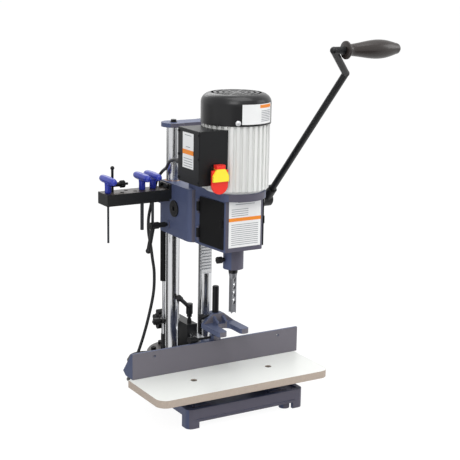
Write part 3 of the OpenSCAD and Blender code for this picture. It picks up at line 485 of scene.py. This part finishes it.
class Builder:
    """Collects simple solids in one mesh."""

    def __init__(self) -> None:
        """Starts an empty mesh."""
        self.bm = bmesh.new()

    def box(self, low: Sequence[float], high: Sequence[float]) -> "Builder":
        """Adds a box.

        Args:
            low: its low corner.
            high: its high corner.

        Returns:
            The builder.
        """
        size = Vector(high) - Vector(low)
        middle = (Vector(high) + Vector(low)) / 2
        matrix = Matrix.Translation(middle) @ Matrix.Diagonal((*size, 1))
        bmesh.ops.create_cube(self.bm, size=1, matrix=matrix)
        return self

    def rod(
        self, start: Sequence[float], end: Sequence[float], radius: float, sides: int = 32
    ) -> "Builder":
        """Adds a round rod.

        Args:
            start: the centre of one end.
            end: the centre of the other.
            radius: its radius.
            sides: faces round it.

        Returns:
            The builder.
        """
        a, b = Vector(start), Vector(end)
        turn = (b - a).to_track_quat("Z", "Y").to_matrix().to_4x4()
        matrix = Matrix.Translation((a + b) / 2) @ turn
        bmesh.ops.create_cone(
            self.bm, cap_ends=True, segments=sides, radius1=radius, radius2=radius,
            depth=(b - a).length, matrix=matrix,
        )
        return self

    def lathe(
        self, profile: Sequence[tuple[float, float]], matrix: Matrix, sides: int = 48
    ) -> "Builder":
        """Turns a profile round a line.

        Args:
            profile: (radius, height) from one end to the other; a radius of 0 closes an end.
            matrix: takes the Z axis to the line.
            sides: faces round it.

        Returns:
            The builder.
        """
        rings = []
        for radius, height in profile:
            count = sides if radius > 0 else 1
            rings.append([
                self.bm.verts.new(matrix @ Vector((
                    radius * math.cos(math.tau * i / count),
                    radius * math.sin(math.tau * i / count), height)))
                for i in range(count)
            ])
        for one, two in zip(rings, rings[1:]):
            for i in range(sides):
                j = (i + 1) % sides
                corners = [one[i % len(one)], one[j % len(one)],
                           two[j % len(two)], two[i % len(two)]]
                self.bm.faces.new(list(dict.fromkeys(corners)))
        return self

    def prism(
        self, outline: Sequence[tuple[float, float]], thickness: float, place: Placing
    ) -> "Builder":
        """Gives an outline a thickness on a flat or curved face.

        Args:
            outline: (u, v) points, in order.
            thickness: how far it stands off.
            place: takes u, v and the height off the face to a point.

        Returns:
            The builder.
        """
        low, high = [
            [self.bm.verts.new(place(u, v, h)) for u, v in outline] for h in (0.0, thickness)
        ]
        self.bm.faces.new(low)
        self.bm.faces.new(high)
        for i in range(len(low)):
            j = (i + 1) % len(low)
            self.bm.faces.new([low[i], low[j], high[j], high[i]])
        return self

    def finish(
        self, name: str, finish: Finish, body: str, slot: str, smooth: float = 35.0
    ) -> bpy.types.Object:
        """Makes the object.

        Args:
            name: the piece's name.
            finish: its finish.
            body: the CAD body that it rides on.
            slot: not used.
            smooth: the angle in degrees below which edges are shaded smooth.

        Returns:
            The object.
        """
        bmesh.ops.recalc_face_normals(self.bm, faces=self.bm.faces)
        mesh = bpy.data.meshes.new(name)
        self.bm.to_mesh(mesh)
        self.bm.free()
        mesh.shade_smooth()
        mesh.set_sharp_from_angle(angle=math.radians(smooth))
        made = bpy.data.objects.new(name, mesh)
        bpy.context.scene.collection.objects.link(made)
        mesh.materials.append(finish.material())
        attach(made, body)
        log.info("%s on %s", name, body)
        return made


# ---- camera and light ----


@dataclass
class Camera:
    """The photograph's viewpoint."""

    location: Point = (-1.42358648, -2.42219189, 1.08229238)
    yaw: float = -30.9987505
    pitch: float = 13.0787891
    roll: float = 1.01399769
    lens: float = 95.22
    sensor: float = 36.0

    def build(self) -> None:
        """Makes the camera and the scene's active camera."""
        yaw, pitch, roll = (math.radians(a) for a in (self.yaw, self.pitch, self.roll))
        level = Vector((math.sin(yaw), -math.cos(yaw), 0))
        back = math.cos(pitch) * level + Vector((0, 0, math.sin(pitch)))
        right = Vector((math.cos(yaw), math.sin(yaw), 0))
        up = right.cross(-back)
        side = math.cos(roll) * right + math.sin(roll) * up
        top = math.cos(roll) * up - math.sin(roll) * right
        data = bpy.data.cameras.new("camera")
        data.lens = self.lens
        data.sensor_width = self.sensor
        made = bpy.data.objects.new("camera", data)
        turn = Matrix((side, top, back)).transposed().to_4x4()
        made.matrix_world = Matrix.Translation(self.location) @ turn
        bpy.context.scene.collection.objects.link(made)
        bpy.context.scene.camera = made


@dataclass
class Studio:
    """Pale floor, white world, soft lamps and two dark cards for the bright steel to mirror."""

    floor_radius: float = 60.0
    floor_drop: float = 0.0006
    card_drop: float = 0.0003
    card_reach: tuple[float, float] = (0.36, 5.0)
    world_light: float = 0.62
    whiteness: float = 0.86
    glow: float = 1.1
    lamps: Sequence[tuple[str, Point, float, float]] = (
        ("key", (-1.7, -2.2, 2.6), 34.0, 1.5),
        ("side", (2.3, -1.2, 1.7), 16.0, 1.3),
        ("rear", (0.6, 2.4, 2.2), 14.0, 1.5),
        ("top", (0.1, -0.5, 2.9), 30.0, 1.8),
    )

    cards: Sequence[tuple[str, float, float, float]] = (
        ("front_card", -42.0, 32.0, 0.01), ("back_card", -165.0, -112.0, 0.16),
    )

    def _lamp(self, name: str, place: Point, power: float, size: float) -> None:
        """Hangs one soft square lamp that faces the machine.

        Args:
            name: the lamp's name.
            place: where it hangs.
            power: its power in watts.
            size: its side.
        """
        data = bpy.data.lights.new(name, "AREA")
        data.energy = power
        data.size = size
        made = bpy.data.objects.new(name, data)
        aim = Vector((0, 0, 0.4)) - Vector(place)
        turn = aim.to_track_quat("-Z", "Y").to_matrix().to_4x4()
        made.matrix_world = Matrix.Translation(place) @ turn
        bpy.context.scene.collection.objects.link(made)

    def _world(self) -> None:
        """Makes a world that lights softly and shows white."""
        world = bpy.data.worlds.new("studio")
        bpy.context.scene.world = world
        world.use_nodes = True
        graph = Graph(world.node_tree)
        seen = graph.node("ShaderNodeLightPath", output="Is Camera Ray")
        mirrored = graph.node("ShaderNodeLightPath", output="Is Glossy Ray")
        passed = graph.node("ShaderNodeLightPath", output="Is Transmission Ray")
        shown = (seen + mirrored + passed > 0.5) * (1 - self.world_light) + self.world_light
        light = graph.node("ShaderNodeBackground", values={0: (1, 1, 1, 1), 1: shown})
        graph.surface(light, "ShaderNodeOutputWorld")

    def _lay(self, name: str, bm: bmesh.types.BMesh, drop: float) -> tuple[bpy.types.Object, Graph]:
        """Lays a flat sheet under the machine.

        Args:
            name: the sheet's name.
            bm: its faces, at height 0.
            drop: how far it lies below the bench surface.

        Returns:
            The sheet and its material's graph.
        """
        mesh = bpy.data.meshes.new(name)
        bm.to_mesh(mesh)
        bm.free()
        sheet = bpy.data.objects.new(name, mesh)
        bpy.context.scene.collection.objects.link(sheet)
        sheet.location.z = -drop
        look = bpy.data.materials.new(name)
        look.use_nodes = True
        mesh.materials.append(look)
        return sheet, Graph(look.node_tree)

    def _floor(self) -> None:
        """Lays the pale floor, which keeps a faint shadow of the machine."""
        bm = bmesh.new()
        bmesh.ops.create_circle(bm, cap_ends=True, segments=96, radius=self.floor_radius)
        _, graph = self._lay("floor", bm, self.floor_drop)
        seen = graph.node("ShaderNodeLightPath", output="Is Camera Ray")
        mirrored = graph.node("ShaderNodeLightPath", output="Is Glossy Ray")
        dull = graph.node("ShaderNodeBsdfDiffuse", values={"Color": (0.8, 0.8, 0.8, 1)})
        bright = graph.node("ShaderNodeEmission", values={0: (1, 1, 1, 1), 1: self.glow})
        share = (seen + mirrored > 0.5) * self.whiteness
        graph.surface(graph.node("ShaderNodeMixShader", values={0: share, 1: dull, 2: bright}))

    def _card(self, name: str, first: float, last: float, shade: float) -> None:
        """Lays a card on the table that only mirrors in the bright steel.

        Args:
            name: the card's name.
            first: the direction of one side, in degrees from the front.
            last: the direction of the other side.
            shade: its grey, as light given.
        """
        bm = bmesh.new()
        near, far = self.card_reach
        bm.faces.new([
            bm.verts.new((reach * math.sin(math.radians(a)), -reach * math.cos(math.radians(a)), 0))
            for reach, a in ((near, first), (near, last), (far, last), (far, first))
        ])
        card, graph = self._lay(name, bm, self.card_drop)
        graph.surface(graph.node("ShaderNodeEmission", values={0: (1, 1, 1, 1), 1: shade}))
        card.visible_camera = card.visible_diffuse = card.visible_shadow = False

    def build(self) -> None:
        """Builds floor, world, lamps and cards."""
        bpy.context.scene.view_settings.view_transform = "Standard"
        self._world()
        self._floor()
        for lamp in self.lamps:
            self._lamp(*lamp)
        for card in self.cards:
            self._card(*card)


# ---- mains cord ----


@dataclass
class MainsCord:
    """The mains cord: gland to bench in free air, and the rest wound up behind the machine."""

    diameter: float = 0.0076
    length: float = 1.83
    low: float = 0.00352
    coil_center: tuple[float, float] = (-0.02, 0.34)
    outer: float = 0.046
    inner: float = 0.038
    upper: float = 0.042
    layer: float = 0.0069
    route: Sequence[Point] = (
        (-116, -4, 606), (-116, 8, 605), (-112, 30, 600), (-104, 58, 589), (-90, 95, 571),
        (-84, 130, 554), (-84, 154, 532), (-86, 167, 500), (-92, 170, 468), (-99, 170, 434),
        (-99, 170, 399), (-93, 170, 365), (-88, 170, 330), (-83, 170, 293), (-85, 170, 242),
        (-98, 171, 181), (-112, 173, 130), (-126, 177, 85), (-135, 184, 48), (-138, 196, 20),
        (-133, 216, 8), (-118, 240, 3.52), (-91, 253.4, 3.52), (-28.4, 284.5, 3.52),
        (0.5, 298.8, 3.9),
    )

    def _free(self) -> list[Vector]:
        """Gives the free stretch as a smooth line of close points.

        Returns:
            The points, from the gland to where the coil begins.
        """
        ends = [Vector(p) * MM for p in self.route]
        around = [2 * ends[0] - ends[1], *ends, 2 * ends[-1] - ends[-2]]
        points = []
        for a, b, c, d in zip(around, around[1:], around[2:], around[3:]):
            for i in range(8):
                t = i / 8
                points.append(0.5 * (2 * b + (c - a) * t + (2 * a - 5 * b + 4 * c - d) * t**2
                                     + (3 * b - a - 3 * c + d) * t**3))
        points.append(ends[-1])
        for p in points:
            p.z = max(p.z, self.low)
        return points

    def _coil(self, start: Vector, length: float) -> list[Vector]:
        """Winds the rest of the cord.

        Args:
            start: where the winding begins.
            length: how much cord is left.

        Returns:
            The points after the start.
        """
        x, y = self.coil_center
        turn = math.atan2(start.y - y, start.x - x)
        floor_z = self.diameter / 2 + 0.0002
        marks = ((0.0, self.outer, floor_z), (0.9, self.outer, floor_z),
                 (1.1, self.inner, floor_z), (1.95, self.inner, floor_z),
                 (2.15, self.upper, floor_z + self.layer), (9.0, self.upper, floor_z + self.layer))
        points, last, turned = [], start, 0.0
        while length > 1e-6:
            turned += 1 / 48
            for (t0, r0, z0), (t1, r1, z1) in zip(marks, marks[1:]):
                if t0 <= turned < t1:
                    part = (turned - t0) / (t1 - t0)
                    part = part * part * (3 - 2 * part)
                    radius, height = r0 + (r1 - r0) * part, z0 + (z1 - z0) * part
            angle = turn + math.tau * turned
            here = Vector((x + radius * math.cos(angle), y + radius * math.sin(angle), height))
            step = (here - last).length
            if step > length:
                here = last + (here - last) * (length / step)
            points.append(here)
            length -= step
            last = here
        return points

    def _plug(self) -> bpy.types.Object:
        """Moulds the plug that lies beside the coil.

        Returns:
            The plug.
        """
        low, high = (Vector(v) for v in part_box("cord_plug"))
        middle = (low + high) / 2
        body = Builder()
        to_x = Matrix.Translation((low.x, middle.y, middle.z)) @ ALONG_X
        length, radius = 0.034, 0.0098
        body.lathe([(0, 0), (0.0042, 0), (0.0046, 0.006), (0.0085, 0.014), (radius, 0.02),
                    (radius, length - 0.002), (radius - 0.0015, length), (0, length)], to_x)
        for side in (-0.006, 0.006):
            body.box((low.x + length - 0.001, middle.y + side - 0.0008, middle.z - 0.003),
                     (high.x, middle.y + side + 0.0008, middle.z + 0.003))
        plug = body.finish("plug_moulding", BLACK_PLASTIC, "root", "black_plastic")
        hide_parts("cord_plug")
        return plug

    def build(self) -> None:
        points = self._free()
        used = sum((b - a).length for a, b in zip(points, points[1:]))
        points += self._coil(points[-1], self.length - used)
        data = bpy.data.curves.new("mains_cord", "CURVE")
        data.dimensions = "3D"
        data.bevel_depth = self.diameter / 2
        data.bevel_resolution = 4
        data.use_fill_caps = True
        line = data.splines.new("POLY")
        line.points.add(len(points) - 1)
        for spot, point in zip(line.points, points):
            spot.co = (*point, 1.0)
        line.use_smooth = True
        cord = bpy.data.objects.new("mains_cord", data)
        bpy.context.scene.collection.objects.link(cord)
        data.materials.append(RUBBER.material())
        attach(cord, "root")
        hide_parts("cord_free", "cord_coil")
        plug = self._plug()
        log.info("mains_cord on root")


# ---- plates ----


@dataclass
class Plate:
    """A generic plate: white, with thin grey lines and a plain orange band."""

    name: str
    body: str
    size: tuple[float, float]
    place: Placing
    band: tuple[float, float]
    lines: Sequence[tuple[float, float, float]]
    across: int = 1
    band_u: tuple[float, float] = (0.0, 1.0)
    plate_off: float = 0.0004
    print_off: float = 0.0006
    line_width: float = 0.0014

    def _sheet(
        self, name: str, u: tuple[float, float], v: tuple[float, float], off: float,
        finish: Finish,
    ) -> None:
        """Lays one thin rectangle on the plate.

        Args:
            name: the piece's name.
            u: its ends across, as shares of the width.
            v: its ends upwards, as shares of the height.
            off: how far its face stands off.
            finish: its finish.
        """
        width, height = self.size
        steps = [u[0] + (u[1] - u[0]) * i / self.across for i in range(self.across + 1)]
        outline = [(s * width, v[0] * height) for s in steps]
        outline += [(s * width, v[1] * height) for s in reversed(steps)]
        Builder().prism(outline, off, self.place).finish(name, finish, self.body, "white_laminate")

    def build(self) -> None:
        """Builds the plate, its band and its lines."""
        half = self.line_width / 2 / self.size[1]
        self._sheet(self.name, (0, 1), (0, 1), self.plate_off, WHITE_PLATE)
        self._sheet(f"{self.name}_band", self.band_u, self.band, self.print_off, ORANGE_PLATE)
        for i, (start, end, v) in enumerate(self.lines):
            name = f"{self.name}_line_{i}"
            self._sheet(name, (start, end), (v - half, v + half), self.print_off, GREY_PRINT)


def front_place(u: float, v: float, off: float) -> Point:
    """Places a point of the plate on the housing's front."""
    return (-0.042 + u, -0.117 - off, 0.4145 + v)


def box_place(u: float, v: float, off: float) -> Point:
    """Places a point of the plate on the switch box's left side."""
    return (-0.1272 - off, -0.053 - u, 0.6 + v)


COVER_RADIUS = 0.0805
COVER_Y = -0.07


def cover_place(u: float, v: float, off: float) -> Point:
    """Places a point of the plate on the round fan cover."""
    radius = COVER_RADIUS + off
    angle = math.radians(-21) + u / COVER_RADIUS
    return (radius * math.sin(angle), COVER_Y - radius * math.cos(angle), 0.7005 + v)


def plates() -> list[Plate]:
    """Lists the three generic plates.

    Returns:
        The plates, ready to build.
    """
    text = [(0.08, 0.92, 0.06 + 0.043 * i) for i in range(11)]
    table = [(0.08, 0.6, 0.68 + 0.045 * i) for i in range(4)]
    heading = [(0.2, 0.8, 0.92), (0.28, 0.72, 0.96)]
    notes = [(0.1, 0.9, 0.06 + 0.07 * i) for i in range(4)]
    rows = [(0.55, 0.94, 0.14 + 0.085 * i) for i in range(7)]
    return [
        Plate("front_plate", "head", (0.085, 0.109), front_place, (0.56, 0.635),
              text + table + heading),
        Plate("box_plate", "head", (0.049, 0.08), box_place, (0.39, 0.52),
              notes + [(0.2, 0.8, 0.93), (0.3, 0.7, 0.6)]),
        Plate("cover_plate", "head", (0.088, 0.0445), cover_place, (0.8, 0.96), rows,
              across=14, band_u=(0.5, 0.96)),
    ]


# ---- small fasteners ----


@dataclass
class Screws:
    """Round-head screws that show on the outside."""

    body: str
    slot: str
    finish: Finish
    radius: float
    height: float
    spots: Sequence[tuple[str, Point, Point]]

    def build(self) -> None:
        """Turns a domed head at each spot."""
        for name, place, out in self.spots:
            turn = Vector(out).to_track_quat("Z", "Y").to_matrix().to_4x4()
            matrix = Matrix.Translation(place) @ turn
            dome = [(self.radius * math.cos(a), self.height * math.sin(a))
                    for a in (math.radians(d) for d in range(0, 90, 15))]
            made = Builder().lathe([(0, -0.0004), (self.radius, -0.0004), *dome, (0, self.height)],
                                   matrix, 24)
            made.finish(name, self.finish, self.body, self.slot)


def screws() -> list[Screws]:
    """Lists the visible screws.

    Returns:
        The groups of screws.
    """
    angle = math.radians(-27.2)
    out = (math.sin(angle), -math.cos(angle), 0)
    cover = (COVER_RADIUS * out[0], COVER_Y + COVER_RADIUS * out[1], 0.7036)
    return [
        Screws("head", "ground_steel", SCREW_WHITE, 0.0062, 0.0028, [("cover_screw", cover, out)]),
    ]


# ---- handles ----


@dataclass
class HexKey:
    """One T-handled hex key that stands in the tool rack."""

    node: str
    x: float
    y: float
    low: float
    shank: float
    top: float = 0.547
    rack_top: float = 0.5163
    half: float = 0.04

    def build(self) -> None:
        """Builds the handle and shank in place of the plain node."""
        handle = Builder()
        upright = Matrix.Translation((self.x, self.y, self.rack_top))
        rise = self.top - self.rack_top
        handle.lathe([(0, 0), (0.0072, 0), (0.008, 0.0015), (0.0078, rise * 0.5),
                      (0.0086, rise - 0.004), (0.0075, rise), (0, rise)], upright)
        along = Matrix.Translation((self.x, self.y, self.top)) @ ALONG_Y
        bar = []
        for i in range(25):
            t = -1 + i / 12
            bar.append((0.0097 * (1 - abs(t) ** 7) ** 0.5 * (1 - 0.1 * abs(t)), t * self.half))
        handle.lathe(bar, along)
        made = handle.finish(f"{self.node}_handle", BLUE, self.node, "blue_plastic", 50)
        shank = Builder().rod((self.x, self.y, self.low), (self.x, self.y, self.rack_top + 0.004),
                              self.shank, 6)
        shank.finish(f"{self.node}_shank", DARK_STEEL, self.node, "blue_plastic", 20)
        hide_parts(self.node)


def hex_keys() -> list[HexKey]:
    """Lists the three hex keys, as (X, Y, low end, shank radius) in the source."""
    return [
        HexKey("hex_key_1", -0.230, 0.122, 0.396, 0.0026),
        HexKey("hex_key_2", -0.139, 0.126, 0.418, 0.0042),
        HexKey("hex_key_3", -0.108, 0.131, 0.414, 0.0034),
    ]


@dataclass
class LeverGrip:
    """The pear-shaped grip on the feed lever."""

    length: float = 0.148
    belly: float = 0.021
    neck: float = 0.0125

    def build(self) -> None:
        """Turns the grip in place of the plain node."""
        low, high = (Vector(v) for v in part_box("lever_grip"))
        middle = (low + high) / 2
        matrix = Matrix.Translation((low.x, middle.y, middle.z)) @ ALONG_X
        profile = [(0.0052, 0.0), (0.0192, 0.0), (0.02, 0.0008), (0.02, 0.0036), (0.0192, 0.0046),
                   (0.0142, 0.0075)]
        steps = 22
        for i in range(1, steps):
            t = i / steps
            swell = math.sin(math.pi * t**1.45)
            profile.append((self.neck + (self.belly - self.neck) * swell,
                            0.0075 + t * (self.length - 0.0195)))
        for i in range(8):
            angle = math.radians(i * 90 / 7)
            profile.append((self.neck * math.cos(angle),
                            self.length - 0.012 + 0.012 * math.sin(angle)))
        grip = Builder().lathe(profile, matrix).finish(
            "lever_grip_turned", GRIP_PLASTIC, "grip", "black_plastic", 60)
        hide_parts("lever_grip")


def main() -> None:
    """Builds camera, light, finishes and pieces in order."""
    Camera().build()
    Studio().build()
    dress_nodes()
    MainsCord().build()
    for piece in (*plates(), *screws(), *hex_keys(), LeverGrip()):
        piece.build()


if __name__ == "__main__":
    logging.basicConfig(level=logging.INFO)
    main()
